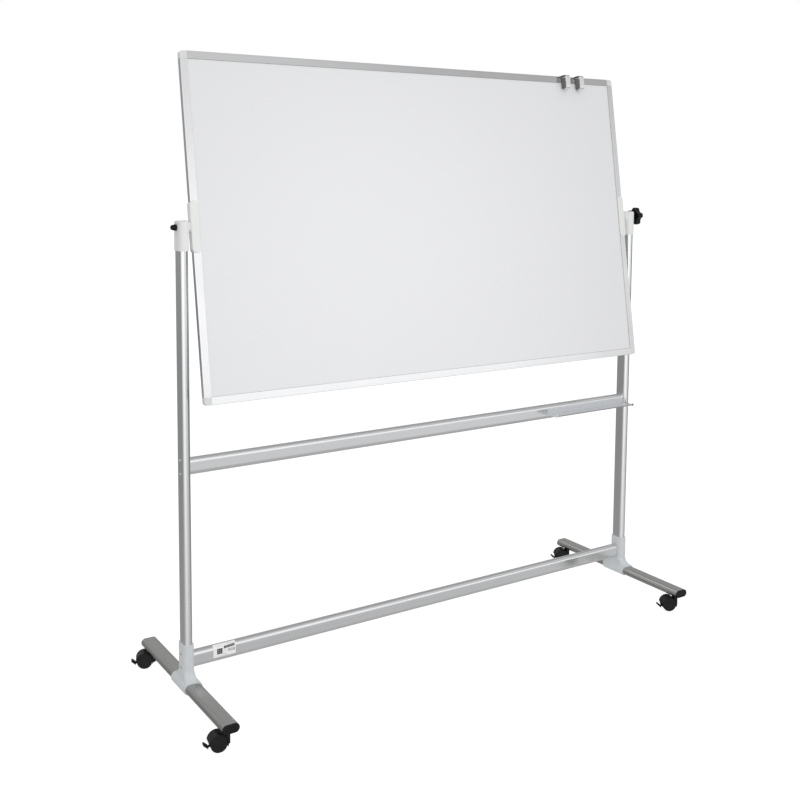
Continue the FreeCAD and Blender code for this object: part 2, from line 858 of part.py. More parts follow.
def rounded_rectangle(sketch, half_across, half_up, radius):
    """A rectangle about the sketch's origin with quarter-circle corners."""
    points = []
    for across, up, level_first in ((1, 1, False), (-1, 1, True), (-1, -1, False), (1, -1, True)):
        beside = (f"{across}*({half_across})", f"{up}*(({half_up})-({radius}))")
        above = (f"{across}*(({half_across})-({radius}))", f"{up}*({half_up})")
        points += [above, beside] if level_first else [beside, above]
    outline(sketch, points, {corner: (radius, 1) for corner in (0, 2, 4, 6)})


def saddle(name, half_x, half_y, top):
    """The flared foot of the upright's sleeve: it sweeps out from the crease to the foot sleeve."""
    body = new_body(name)
    reach_y = "(connector_half_length-connector_rim)"

    def section(height, across, along, corner):
        sketch = new_sketch(body, "XY", ("0", "0", height))
        rounded_rectangle(sketch, across, along, corner)
        return sketch

    def loft(first, *others):
        feature = body.newObject("PartDesign::AdditiveLoft", f"{name}_loft")
        feature.Profile = first
        feature.Sections = list(others)
        feature.Ruled = len(others) == 1
        doc.recompute()

    steps = 4
    flare = []
    for step in range(steps + 1):
        bend = math.radians(90 * step / steps)
        down, out = f"{math.sin(bend):.4f}", f"{1 - math.cos(bend):.4f}"
        flare.append(section(
            f"saddle_crease-(saddle_crease-({top}))*{down}",
            f"{half_x}+(saddle_shoulder-{half_x})*{out}",
            f"{half_y}+({reach_y}-{half_y})*{out}",
            f"{half_x}-saddle_flat-({half_x}-saddle_flat-saddle_corner)*{down}",
        ))
    loft(*flare)
    hem = section(f"{top}-saddle_hem", "saddle_shoulder+saddle_hem_spread", reach_y, "saddle_corner")
    loft(flare[-1], hem)
    return body


def foot_connector(name, side):
    """A cast tee: a sleeve for the foot bar, a sleeve for the upright and a saddle between."""
    depth, width = "(tube_depth+2*connector_wall)", "(tube_width+2*connector_wall)"
    sleeve_top = f"foot_height+{width}/2"
    post = new_body(f"{name}_post")
    section = new_sketch(post, "XY", ("0", "0", "foot_height"))
    stadium(section, depth, width, upright=True)
    pad(post, section, "connector_top-foot_height")
    round_edges(post, edges_at(post, "z+"), "connector_rim")
    sleeve = new_body(f"{name}_sleeve")
    section = new_sketch(sleeve, "XZ", ("0", "foot_height", "0"))
    stadium(section, depth, width, upright=False)
    pad(sleeve, section, "2*connector_half_length", symmetric=True)
    round_edges(sleeve, edges_at(sleeve, "y-") + edges_at(sleeve, "y+"), "connector_rim")
    flared = saddle(f"{name}_saddle", f"{width}/2", f"{depth}/2", sleeve_top)
    outside = fuse(f"{name}_outside", post, sleeve, flared)
    for_upright = new_body(f"{name}_upright_hole")
    section = new_sketch(for_upright, "XY", ("0", "0", sleeve_top))
    stadium(section, "tube_depth", "tube_width", upright=True)
    pad(for_upright, section, f"connector_top+1-({sleeve_top})")
    for_foot = new_body(f"{name}_foot_hole")
    section = new_sketch(for_foot, "XZ", ("0", "foot_height", "0"))
    stadium(section, "tube_depth", "tube_width", upright=False)
    pad(for_foot, section, "2*connector_half_length+2", symmetric=True)
    tools = [for_upright, for_foot]
    outer_face = f"{side}*{width}/2"
    for up in ("port_offset", "-port_offset"):
        centre = ("0", f"lower_bar+{up}")
        through = (f"-{width}/2-1", *centre)
        tools.append(cylinder(f"{name}_hole", "X", "screw_hole/2", f"{width}+2", through))
        seat = (f"{outer_face}-{'counterbore_depth' if side > 0 else '1'}", *centre)
        tools.append(cylinder(f"{name}_seat", "X", "counterbore/2", "counterbore_depth+1", seat))
    casting = node(name, cut(name, outside, *tools))
    at(casting, f"{side}*upright_x")


def foot_bar(name, side):
    """A flat-oval foot with a hole in its underside for each caster stem."""
    body = node(name, new_body(name))
    section = new_sketch(body, "XZ")
    tube_section(section, upright=False)
    pad(body, section, "foot_length-2*end_cap_plate", symmetric=True)
    holes = new_sketch(body, "XY")
    circle(holes, "0", "caster_y", "stem_diameter")
    circle(holes, "0", "-caster_y", "stem_diameter")
    pocket(body, holes, "tube_width")
    at(body, f"{side}*upright_x", "0", "foot_height")


def foot_end_cap(name, side, end):
    body = node(name, new_body(name))
    plate = new_sketch(body, "XZ")
    stadium(plate, "tube_depth", "tube_width", upright=False)
    pad(body, plate, "end_cap_plate")
    round_edges(body, edges_at(body, "y-"), "end_cap_round")
    recess = new_sketch(body, "XZ", ("0", "0", "end_cap_plate"))
    stadium(recess, "tube_depth-2*end_cap_rim", "tube_width-2*end_cap_rim", upright=False)
    pocket(body, recess, "end_cap_recess")
    plug = new_sketch(body, "XZ")
    inside = "2*tube_wall-2*plug_gap"
    stadium(plug, f"tube_depth-{inside}", f"tube_width-{inside}", upright=False)
    pad(body, plug, "end_cap_plug", reverse=True)
    along = f"{end}*(foot_length/2-end_cap_plate)"
    at(body, f"{side}*upright_x", along, "foot_height", "180" if end > 0 else "0")


def caster_stems():
    stems = []
    for side in (-1, 1):
        for end in (-1, 1):
            body = new_body("caster_stem")
            turned(body, "Z", [
                ("stem_bottom", "0"),
                ("stem_bottom", "stem_diameter/2"),
                ("foot_height-tube_width/2-stem_collar_thickness", "stem_diameter/2"),
                ("foot_height-tube_width/2-stem_collar_thickness", "stem_collar/2"),
                ("foot_height-tube_width/2", "stem_collar/2"),
                ("foot_height-tube_width/2", "stem_diameter/2"),
                ("stem_top", "stem_diameter/2"),
                ("stem_top", "0"),
            ])
            at(body, f"{side}*upright_x", f"{end}*caster_y")
            stems.append(body)
    group("caster_stems", stems)


# Tray and label

TRAY_BOTTOM = "-(tray_floor+tray_wall)"
TRAY_FRONT = "-(tube_width/2+tray_depth)"
TRAY_RIGHT = "upright_x-tube_width/2"


def pen_tray():
    """A folded tray: a flange on the crossbar, a floor and a lip turned back over it."""
    body = node("pen_tray", new_body("pen_tray"))
    back = "-tube_width/2"
    lip = f"{TRAY_BOTTOM}+tray_lip"
    points = [
        (back, "tray_flange"),
        (back, TRAY_BOTTOM),
        (TRAY_FRONT, TRAY_BOTTOM),
        (TRAY_FRONT, lip),
        (f"{TRAY_FRONT}+tray_lip_return", lip),
        (f"{TRAY_FRONT}+tray_lip_return", f"{lip}-tray_wall"),
        (f"{TRAY_FRONT}+tray_wall", f"{lip}-tray_wall"),
        (f"{TRAY_FRONT}+tray_wall", "-tray_floor"),
        (f"{back}-tray_wall", "-tray_floor"),
        (f"{back}-tray_wall", "tray_flange"),
    ]
    section = new_sketch(body, "YZ", ("0", "0", "tray_left"))
    outline(section, points)
    pad(body, section, f"{TRAY_RIGHT}-tray_left")
    round_edges(body, edges_through(body, "x", points[1:4]), "tray_bend")
    round_edges(body, edges_through(body, "x", points[6:9]), "tray_bend-tray_wall")
    at(body, z="upper_bar")


def tray_end_cap(name, points, start, outer):
    body = node(name, new_body(name))
    section = new_sketch(body, "YZ", ("0", "0", start))
    outline(section, points)
    pad(body, section, "tray_cap")
    round_edges(body, edges_at(body, outer), "tray_cap_edge")
    at(body, z="upper_bar")


def tray_end_caps():
    """Both caps close the floor and the lip; the right one passes in front of the upright."""
    below = f"{TRAY_BOTTOM}-tray_cap_proud"
    front = f"{TRAY_FRONT}-tray_cap_proud"
    behind_lip = f"{front}+tray_cap"
    above_floor = f"{below}+tray_cap"
    low = f"{TRAY_BOTTOM}+tray_lip+tray_cap_proud"
    tall = f"{TRAY_BOTTOM}+tray_cap_lip"

    def closing(back, top):
        section = [(back, below), (front, below), (front, top), (behind_lip, top)]
        return section + [(behind_lip, above_floor), (back, above_floor)]

    beside = "-(tube_depth/2+tray_upright_gap)"
    tray_end_cap("tray_end_cap_left", closing("-tube_width/2", tall), "tray_left-tray_cap", "x-")
    tray_end_cap("tray_end_cap_right", closing(beside, low), TRAY_RIGHT, "x+")


def label():
    """A thin label over the front and the upper rounding of the lower crossbar."""
    shells = []
    for skin in ("label_skin", "0"):
        shell = new_body("label_shell")
        section = new_sketch(shell, "YZ", ("0", "0", "label_left"))
        stadium(section, f"tube_depth+2*{skin}", f"tube_width+2*{skin}", upright=True)
        pad(shell, section, "label_length")
        shells.append(shell)
    skin = cut("label_sleeve", *shells)
    low = ("label_left", "-tube_width", "label_foot")
    patch = block("label_patch", low, ("label_left+label_length", "-label_back", "tube_depth"))
    at(node("label", common("label", skin, patch)), z="lower_bar")


# Casters

def about_axle(name, radius, half_width, start=None):
    """A cylinder about the wheel axis, centred on the caster or starting at one side."""
    low = start or f"-({half_width})"
    return cylinder(name, "Y", radius, f"2*({half_width})", ("-trail", low, "wheel_radius"))


def outer_rims(body):
    """Names of the largest circles of a solid turned about a line along Y."""
    width = body.Tip.Shape.optimalBoundingBox(False, False).XLength
    edges = enumerate(body.Tip.Shape.Edges, 1)
    return [f"Edge{index}" for index, edge in edges
            if abs(edge.BoundBox.XLength - width) < NEAR and edge.BoundBox.YLength < NEAR]


def caster_hood(name):
    """The swivelling hood: a fender over both wheels, a web between them and a stem housing."""
    fender = new_body(f"{name}_fender")
    turned(fender, "Y", [
        ("-hood_width/2", "fender_inner"),
        ("-hood_width/2", "fender_outer"),
        ("hood_width/2", "fender_outer"),
        ("hood_width/2", "fender_inner"),
    ], ("-trail", "0", "wheel_radius"))
    round_edges(fender, outer_rims(fender), "fender_round")
    web = about_axle(f"{name}_web", "(fender_inner+fender_outer)/2", "web_half")
    housing = cylinder(
        f"{name}_housing", "Z", "housing_radius", "hood_top-housing_bottom", ("0", "0", "housing_bottom"))
    behind = block(
        f"{name}_behind",
        (f"-{OPEN}-trail", f"-{OPEN}", f"-{OPEN}"),
        ("-trail", f"{OPEN}", "wheel_radius+fender_lift"))
    beneath = block(
        f"{name}_beneath", ("-trail", f"-{OPEN}", f"-{OPEN}"), (f"{OPEN}", f"{OPEN}", "housing_bottom"))
    shell = cut(f"{name}_shell", fuse(f"{name}_solid", fender, web, housing), behind, beneath)
    hub = about_axle(f"{name}_hub", "hub_radius", "web_half")
    slot_low = (f"-{OPEN}-trail", "-pedal_slot", f"-{OPEN}")
    bore_bottom = ("0", "0", "stem_bottom-axle_end_gap")
    tools = [
        about_axle(f"{name}_wheel_room", "fender_inner", "hood_width/2", "web_half"),
        about_axle(f"{name}_wheel_room", "fender_inner", "hood_width/2", "-hood_width-web_half"),
        about_axle(f"{name}_ring_room", "hub_radius+ring_gap", "pedal_slot"),
        block(f"{name}_arm_room", slot_low, ("-trail", "pedal_slot", "wheel_radius+slot_height")),
        about_axle(f"{name}_axle_bore", "axle_diameter/2", "hood_width"),
        cylinder(f"{name}_stem_bore", "Z", "stem_diameter/2+axle_gap", "hood_top", bore_bottom),
    ]
    return cut(name, fuse(f"{name}_blank", shell, hub), *tools)


def caster_wheel(name, side):
    """One of the twin wheels: a closed outer face with a shallow ring, and a blind bore."""
    body = new_body(name)
    outer = "wheel_inner+wheel_width"
    bore = "axle_diameter/2+axle_gap"
    bore_end = "axle_half_length+axle_end_gap"
    profile = [
        ("wheel_inner", bore),
        ("wheel_inner", "wheel_radius"),
        (outer, "wheel_radius"),
        (outer, "wheel_recess_outer"),
        (f"{outer}-wheel_recess", "wheel_recess_outer-wheel_recess"),
        (f"{outer}-wheel_recess", "wheel_recess_inner+wheel_recess"),
        (outer, "wheel_recess_inner"),
        (outer, "0"),
        (bore_end, "0"),
        (bore_end, bore),
    ]
    turned(body, "Y", sided(side, profile), ("-trail", "0", "wheel_radius"))
    round_edges(body, outer_rims(body), "wheel_round")
    return body


def caster_axle(name):
    body = new_body(name)
    profile = [("-axle_half_length", "0"), ("-axle_half_length", "axle_diameter/2")]
    profile += [("axle_half_length", "axle_diameter/2"), ("axle_half_length", "0")]
    turned(body, "Y", profile, ("-trail", "0", "wheel_radius"))
    return body


def brake_pedal(name):
    """The brake pedal: a ring on the axle, a flat arm between the wheels and a foot pad."""
    body = new_body(name)
    shift = ("-trail", "wheel_radius", "0")
    pad_sketch = new_sketch(body, "XZ", shift)
    root, tip = "-pedal_root_back", "-pedal_root_back-pedal_run"
    outline(pad_sketch, [
        (root, "-pedal_root_drop-pedal_pad_half"),
        (root, "-pedal_root_drop+pedal_pad_half"),
        (tip, "-pedal_root_drop+pedal_lift+pedal_pad_half"),
        (tip, "-pedal_root_drop+pedal_lift-pedal_pad_half"),
    ])
    pad(body, pad_sketch, "pedal_width", symmetric=True)
    round_edges(body, edges_at(body, "x-"), "pedal_tip_round")
    round_edges(body, edges_at(body, "y-") + edges_at(body, "y+"), "pedal_round")
    arm = new_sketch(body, "XZ", shift)
    outline(arm, [
        ("0", "pedal_arm_half"),
        ("0", "-pedal_arm_half"),
        (f"{root}-1", "-pedal_root_drop-pedal_pad_half+1"),
        (f"{root}-1", "-pedal_root_drop+pedal_pad_half"),
    ])
    pad(body, arm, "2*pedal_half", symmetric=True)
    ring = new_sketch(body, "XZ", shift)
    circle(ring, "0", "0", "2*pedal_ring")
    pad(body, ring, "2*pedal_half", symmetric=True)
    bore = new_sketch(body, "XZ", shift)
    circle(bore, "0", "0", "axle_diameter+4*axle_gap")
    pocket_through(body, bore)
    return body


def caster(place, side, end):
    """A twin-wheel caster, drawn about its swivel axis with the wheels trailing towards -X."""
    name = f"caster_{place}"
    pieces = {
        "hood": caster_hood(f"{name}_hood"),
        "axle": caster_axle(f"{name}_axle"),
        "wheel_left": caster_wheel(f"{name}_wheel_left", 1),
        "wheel_right": caster_wheel(f"{name}_wheel_right", -1),
        "pedal": brake_pedal(f"{name}_pedal"),
    }
    for piece, solid in pieces.items():
        node(f"{name}_{piece}", solid)
        at(solid, f"{side}*upright_x", f"{end}*caster_y", "0", f"swivel_{place}")


# Assembly

def build():
    frame_member("frame_top", "board_height", 1, level=True)
    frame_member("frame_bottom", "board_height", -1, level=True)
    frame_member("frame_left", "board_width", -1, level=False)
    frame_member("frame_right", "board_width", 1, level=False)
    for side, across in ((-1, "left"), (1, "right")):
        corner_cap(f"corner_cap_top_{across}", side, 1)
        corner_cap(f"corner_cap_bottom_{across}", side, -1)
        pivot_bracket(f"pivot_bracket_{across}", side)
        pivot_stud(f"pivot_stud_{across}", side, f"stud_reach_{across}")
    writing_surface("writing_surface_front", 1)
    writing_surface("writing_surface_back", -1)
    board_core()
    dome_nut()
    star_knob()
    clip("clip_left", "clip_left_x")
    clip("clip_right", "clip_right_x")
    crossbar("upper_crossbar", "upper_bar", "upright_x-tube_width/2")
    crossbar("lower_crossbar", "lower_bar", "upright_x-tube_width/2-connector_wall")
    crossbar_screws()
    friction_washers()
    caster_stems()
    for side, across in ((-1, "left"), (1, "right")):
        upright(f"upright_{across}", side)
        upright_cap(f"upright_cap_{across}", side)
        foot_connector(f"foot_connector_{across}", side)
        foot_bar(f"foot_bar_{across}", side)
        for end, along in ((-1, "front"), (1, "rear")):
            foot_end_cap(f"foot_end_cap_{along}_{across}", side, end)
            caster(f"{along}_{across}", side, end)
    pen_tray()
    tray_end_caps()
    label()


def check():
    """Stops on anything that failed to compute."""
    doc.recompute()
    for thing in doc.Objects:
        if "Invalid" in thing.State or "Error" in thing.State:
            raise ValueError(f"{thing.Label} failed: {thing.State}")
    for name, thing in NODES.items():
        if thing.Shape.isNull() or not thing.Shape.isValid():
            raise ValueError(f"{name} has no valid shape")


def export():
    os.makedirs("parts", exist_ok=True)
    for name, thing in NODES.items():
        thing.Shape.exportStep(f"parts/{name}.step")
        box = thing.Shape.optimalBoundingBox(False, False)
        ends = [(box.XMin, box.XMax), (box.YMin, box.YMax), (box.ZMin, box.ZMax)]
        spans = ", ".join(f"{letter} {low:.1f} {high:.1f}" for letter, (low, high) in zip("xyz", ends))
        print(f"{name:32s} {len(thing.Shape.Solids)} solids, {thing.Shape.Volume / 1000:9.2f} cm3, {spans}")
    print(f"{len(NODES)} nodes")


build()
check()
export()
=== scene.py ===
import json
from math import atan, cos, radians, sin

import bmesh
import bpy
from mathutils import Matrix, Vector


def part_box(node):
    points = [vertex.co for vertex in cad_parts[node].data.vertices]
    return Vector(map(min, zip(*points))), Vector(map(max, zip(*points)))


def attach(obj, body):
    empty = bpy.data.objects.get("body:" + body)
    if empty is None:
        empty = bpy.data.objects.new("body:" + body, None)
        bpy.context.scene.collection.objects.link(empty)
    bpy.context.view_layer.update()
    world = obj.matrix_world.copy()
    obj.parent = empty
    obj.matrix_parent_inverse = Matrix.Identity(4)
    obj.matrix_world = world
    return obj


# A rolling double-sided whiteboard in a pale studio. Metres, Z up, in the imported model's frame.

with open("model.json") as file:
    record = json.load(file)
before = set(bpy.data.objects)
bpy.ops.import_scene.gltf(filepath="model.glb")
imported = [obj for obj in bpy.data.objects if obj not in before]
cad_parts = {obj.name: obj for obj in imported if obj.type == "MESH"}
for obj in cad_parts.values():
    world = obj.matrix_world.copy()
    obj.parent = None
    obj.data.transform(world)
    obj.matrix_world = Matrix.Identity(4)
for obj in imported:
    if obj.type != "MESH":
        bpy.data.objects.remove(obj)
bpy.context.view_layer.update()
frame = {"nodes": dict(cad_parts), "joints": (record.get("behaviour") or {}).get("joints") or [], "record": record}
scene = bpy.context.scene
joints = {joint["name"]: joint for joint in frame["joints"]}
MM = 0.001
BOARD_DEPTH = 15 * MM
FIRST_LEAN = radians(9)
LEAN_STEPS = 20


# ---------------------------------------------------------------- small helpers

def joint_place(name):
    """Where a joint is and the way its axis points."""
    return Vector(joints[name]["pos_m"]), Vector(joints[name]["axis"]).normalized()


def board_turn():
    """The turn that leans the board, solved from the box of its left frame member."""
    low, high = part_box("frame_left")
    lean = high.y - low.y
    rise = high.z - low.z
    depth = BOARD_DEPTH
    # a bar of length L and depth d leaning by t spans L sin t + d cos t by L cos t + d sin t
    angle = FIRST_LEAN
    for _ in range(LEAN_STEPS):
        length = (rise - depth * sin(angle)) / cos(angle)
        angle = atan((lean - depth * cos(angle)) / (length * cos(angle)))
    return angle


def add_piece(name, mesh, body, material):
    piece = bpy.data.objects.new(name, mesh)
    scene.collection.objects.link(piece)
    mesh.materials.append(material)
    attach(piece, body)
    return piece


def mesh_from(name, build):
    """A mesh made by build(bm)."""
    bm = bmesh.new()
    build(bm)
    bmesh.ops.recalc_face_normals(bm, faces=bm.faces)
    mesh = bpy.data.meshes.new(name)
    bm.to_mesh(mesh)
    bm.free()
    return mesh


# ---------------------------------------------------------------- materials

class Finish:
    """A node material with one Principled shader, and short ways to add to it."""

    def __init__(self, name, colour, roughness, metallic=0.0, **sockets):
        self.material = bpy.data.materials.new(name)
        self.material.use_nodes = True
        self.tree = self.material.node_tree
        self.shader = self.tree.nodes["Principled BSDF"]
        self.set("Base Color", (*colour, 1))
        self.set("Roughness", roughness)
        self.set("Metallic", metallic)
        for socket, value in sockets.items():
            self.set(socket.replace("_", " ").title().replace("Ior", "IOR"), value)
        self.place = self.node("TexCoord").outputs["Object"]

    def set(self, socket, value):
        self.shader.inputs[socket].default_value = value

    def node(self, kind, **inputs):
        node = self.tree.nodes.new("ShaderNode" + kind)
        for key, value in inputs.items():
            node.inputs[key].default_value = value
        return node

    def link(self, source, target):
        self.tree.links.new(source, target)

    def stretched(self, scale, turn=(0, 0, 0)):
        """Object coordinates turned and then scaled."""
        turned = self.node("Mapping", Rotation=turn)
        self.link(self.place, turned.inputs["Vector"])
        scaled = self.node("Mapping", Scale=scale)
        self.link(turned.outputs["Vector"], scaled.inputs["Vector"])
        return scaled.outputs["Vector"]

    def noise(self, where, scale, detail=2.0, roughness=0.5):
        noise = self.node("TexNoise", Scale=scale, Detail=detail, Roughness=roughness)
        self.link(where, noise.inputs["Vector"])
        return noise.outputs["Fac"]

    def along(self, direction):
        """How far the object coordinates reach along a direction."""
        reach = self.node("VectorMath")
        reach.operation = "DOT_PRODUCT"
        self.link(self.place, reach.inputs[0])
        reach.inputs[1].default_value = direction
        return reach.outputs["Value"]

    def spread(self, value, low, high, at=(0.3, 0.7)):
        """value, mapped from the range at onto low to high."""
        mapped = self.node("MapRange")
        for key, number in zip(("From Min", "From Max", "To Min", "To Max"), (*at, low, high)):
            mapped.inputs[key].default_value = number
        self.link(value, mapped.inputs["Value"])
        return mapped.outputs["Result"]

    def mixed(self, factor, first, second):
        """A colour between first and second, by a factor of 0 to 1."""
        ramp = self.node("ValToRGB")
        ramp.color_ramp.elements[0].color = (*first, 1)
        ramp.color_ramp.elements[1].color = (*second, 1)
        self.link(factor, ramp.inputs["Fac"])
        return ramp.outputs["Color"]

    def maths(self, operation, first, second):
        node = self.node("Math")
        node.operation = operation
        self.link(first, node.inputs[0])
        self.link(second, node.inputs[1])
        return node.outputs["Value"]

    def add(self, first, second):
        return self.maths("ADD", first, second)

    def blend(self, factor, first, second):
        """Two colour sockets mixed by a factor socket."""
        node = self.node("Mix")
        node.data_type = "RGBA"
        for name, source in (("Factor", factor), ("A", first), ("B", second)):
            self.link(source, node.inputs[name])
        return node.outputs["Result"]

    def vary(self, centre, fine, below, above, broad, fall, rise):
        """Roughness about a centre: a small part from fine and a part from broad."""
        small = self.spread(fine, below, above)
        self.roughness_from(self.add(small, self.spread(broad, centre - fall, centre + rise)))

    def colour_from(self, socket):
        self.link(socket, self.shader.inputs["Base Color"])

    def roughness_from(self, socket):
        self.link(socket, self.shader.inputs["Roughness"])

    def bump(self, height, distance, strength=1.0):
        bump = self.node("Bump", Distance=distance, Strength=strength)
        self.link(height, bump.inputs["Height"])
        self.link(bump.outputs["Normal"], self.shader.inputs["Normal"])


def shade(colour, factor):
    return tuple(channel * factor for channel in colour)


def extruded(name, colour, axis, turn=(0, 0, 0), roughness=0.2, spread=0.05, dull_foot=0.0):
    """Satin anodised aluminium with die lines along one axis; dull_foot roughens it downwards."""
    finish = Finish(
        name, colour, roughness, metallic=1.0, anisotropic=0.35, anisotropic_rotation=0.25)
    along = {"x": (0.4, 1, 1), "y": (1, 0.4, 1), "z": (1, 1, 0.4)}[axis]
    lines = finish.stretched(tuple(420 if n == 1 else n for n in along), turn)
    bands = finish.stretched(tuple(70 if n == 1 else n for n in along), turn)
    fine = finish.noise(lines, 1.0, detail=3, roughness=0.7)
    broad = finish.noise(bands, 1.0, detail=2)
    cloud = finish.noise(finish.place, 9, detail=4, roughness=0.6)
    tone = finish.add(finish.spread(fine, -0.12, 0.12), finish.spread(broad, 0.4, 0.6))
    finish.colour_from(finish.mixed(tone, shade(colour, 1 - spread), shade(colour, 1 + spread)))
    gloss = finish.add(
        finish.spread(cloud, -0.03, 0.03),
        finish.spread(fine, roughness - 0.03, roughness + 0.03))
    if dull_foot:
        height = finish.along((0, 0, 1))
        gloss = finish.add(gloss, finish.spread(height, dull_foot, 0, at=(0.15, 0.85)))
    finish.roughness_from(gloss)
    finish.bump(fine, 0.0000015, 0.5)
    # the stretched highlight runs across the lines
    direction = finish.node("VectorTransform")
    direction.vector_type = "VECTOR"
    direction.convert_from, direction.convert_to = "OBJECT", "WORLD"
    pointing = Vector({"x": (1, 0, 0), "y": (0, 1, 0), "z": (0, 0, 1)}[axis])
    pointing.rotate(Matrix.Rotation(-turn[0], 3, "X"))
    direction.inputs["Vector"].default_value = pointing
    finish.link(direction.outputs["Vector"], finish.shader.inputs["Tangent"])
    return finish.material


def moulded(name, colour, roughness, grain=1.0, spread=0.04, bump=0.000006, **sockets):
    """Moulded plastic with a fine spark-eroded grain and a faint flow of tone."""
    finish = Finish(name, colour, roughness, **sockets)
    fine = finish.noise(finish.place, 1400 * grain, detail=2)
    flow = finish.noise(finish.place, 24, detail=4, roughness=0.6)
    tone = finish.spread(flow, 0.2, 0.8)
    finish.colour_from(finish.mixed(tone, shade(colour, 1 - spread), shade(colour, 1 + spread)))
    finish.vary(roughness, fine, -0.05, 0.05, flow, 0.04, 0.04)
    finish.bump(fine, bump, 0.6)
    return finish.material


def enamelled():
    """Glossy white enamel on steel: a slight orange peel, and wiping marks in the gloss."""
    colour = (0.832, 0.836, 0.848)
    finish = Finish("enamel", colour, 0.24, specular_ior_level=0.5)
    peel = finish.noise(finish.place, 260, detail=2)
    wiped = finish.stretched((2.2, 2.2, 14), (0, radians(24), 0))
    strokes = finish.noise(wiped, 1.0, detail=5, roughness=0.6)
    cloud = finish.noise(finish.place, 1.6, detail=3)
    tone = finish.spread(cloud, 0.2, 0.8)
    finish.colour_from(finish.mixed(tone, shade(colour, 0.988), shade(colour, 1.012)))
    finish.vary(0.24, strokes, -0.03, 0.03, peel, 0.02, 0.02)
    finish.bump(peel, 0.00003, 0.35)
    return finish.material


def plated(name, colour, roughness):
    """Bright plated steel with a mottled gloss and fine scratches."""
    finish = Finish(name, colour, roughness, metallic=1.0)
    mottle = finish.noise(finish.place, 320, detail=4, roughness=0.7)
    scratch = finish.noise(finish.stretched((60, 900, 900)), 1.0, detail=2)
    finish.colour_from(finish.mixed(mottle, shade(colour, 0.9), shade(colour, 1.06)))
    finish.vary(roughness, scratch, -0.03, 0.05, mottle, 0.02, 0.06)
    finish.bump(scratch, 0.00001, 0.4)
    return finish.material


def scuffed_black(name, colour, roughness, dust):
    """Black plastic with a fine grain, and a little grey dust on what faces up."""
    finish = Finish(name, colour, roughness, specular_ior_level=0.22)
    fine = finish.noise(finish.place, 1100, detail=2)
    patches = finish.noise(finish.place, 55, detail=5, roughness=0.65)
    facing = finish.node("SeparateXYZ")
    finish.link(finish.node("NewGeometry").outputs["Normal"], facing.inputs["Vector"])
    up = finish.spread(facing.outputs["Z"], 0, 1, at=(-0.2, 1.0))
    settled = finish.maths("MULTIPLY", up, finish.spread(patches, 0, dust, at=(0.42, 0.75)))
    finish.colour_from(finish.mixed(settled, colour, (0.26, 0.25, 0.235)))
    finish.vary(roughness, fine, -0.05, 0.05, patches, 0.05, 0.07)
    finish.bump(fine, 0.000008, 0.5)
    return finish.material


def board_stock():
    """The panel's core: pale fibre with darker flecks."""
    colour = (0.60, 0.48, 0.34)
    finish = Finish("core_board", colour, 0.8)
    fibre = finish.noise(finish.stretched((40, 300, 300)), 1.0, detail=5, roughness=0.7)
    tone = finish.spread(fibre, 0, 1)
    finish.colour_from(finish.mixed(tone, shade(colour, 0.8), shade(colour, 1.12)))
    finish.bump(fibre, 0.0002, 0.5)
    return finish.material


LEAN = board_turn()
PIVOT_HEIGHT = joint_place("board_tilt")[0].z
# CLIP_MIDDLE_OUT and CLIP_TOP_UP place where the clips' painted shade begins
CLIP_MIDDLE_OUT = 19 * MM
CLIP_TOP_UP = 449.6 * MM
ALUMINIUM = (0.76, 0.765, 0.775)
FOOT_GREY = (0.46, 0.458, 0.448)
rails = extruded("anodised_along", ALUMINIUM, "x")
bars = extruded("anodised_bars", ALUMINIUM, "x", roughness=0.21)
# painted shade: the board's side members take a copy of the aluminium darkened to 0.94
stiles = extruded("anodised_board_up", shade(ALUMINIUM, 0.94), "z", turn=(LEAN, 0, 0))
posts = extruded("anodised_up", ALUMINIUM, "z", dull_foot=0.25)
foot_metal = extruded("anodised_foot", FOOT_GREY, "y", roughness=0.26, spread=0.03)
enamel = enamelled()
pale_plastic = moulded("moulded_pale", (0.85, 0.862, 0.85), 0.36)
casting = moulded("moulded_grey", (0.70, 0.725, 0.745), 0.25, spread=0.05)
black = scuffed_black("moulded_black", (0.008, 0.008, 0.0085), 0.30, dust=0.03)
glossy_black = scuffed_black("polished_black", (0.004, 0.004, 0.0045), 0.2, dust=0.01)
rolling_black = scuffed_black("wheel_black", (0.009, 0.009, 0.0095), 0.36, dust=0.06)
zinc = plated("zinc_plate", (0.74, 0.735, 0.72), 0.22)
stem_steel = plated("dark_steel", (0.10, 0.10, 0.10), 0.4)
paper = moulded("label_film", (0.97, 0.97, 0.965), 0.38, spread=0.015)
# near-black, used for the label's print and for the painted shade in the screw recesses
ink_and_recess_shade = moulded("label_ink_and_recess_shade", (0.035, 0.035, 0.036), 0.4, spread=0.1)
pale_ink = moulded("label_pale_ink", (0.42, 0.42, 0.42), 0.4, spread=0.1)


def clip_steel():
    """Bright strip, with painted shade: dark on the faces inside the loop and over the frame."""
    finish = Finish("clip_strip_painted_shade", (0.8, 0.8, 0.8), 0.2, metallic=1.0)
    out = Vector((0, -cos(LEAN), sin(LEAN)))
    up = Vector((0, sin(LEAN), cos(LEAN)))
    inner = CLIP_MIDDLE_OUT + out.z * PIVOT_HEIGHT
    top = CLIP_TOP_UP + up.z * PIVOT_HEIGHT
    behind = finish.spread(finish.along(out), 1, 0, at=(inner - 0.5 * MM, inner + 0.5 * MM))
    above = finish.spread(finish.along(up), 0, 1, at=(top - 0.3 * MM, top + 0.3 * MM))
    painted_shade_mask = finish.maths("MAXIMUM", behind, above)
    mottle = finish.noise(finish.place, 240, detail=4, roughness=0.7)
    bright = finish.mixed(mottle, (0.84, 0.84, 0.845), (0.98, 0.98, 0.985))
    dark = finish.mixed(mottle, (0.13, 0.13, 0.13), (0.24, 0.24, 0.24))
    # painted shade: the faces inside the loop and over the frame take the dark colour
    finish.colour_from(finish.blend(painted_shade_mask, bright, dark))
    finish.roughness_from(finish.spread(mottle, 0.16, 0.26))
    finish.bump(mottle, 0.000004, 0.4)
    return finish.material


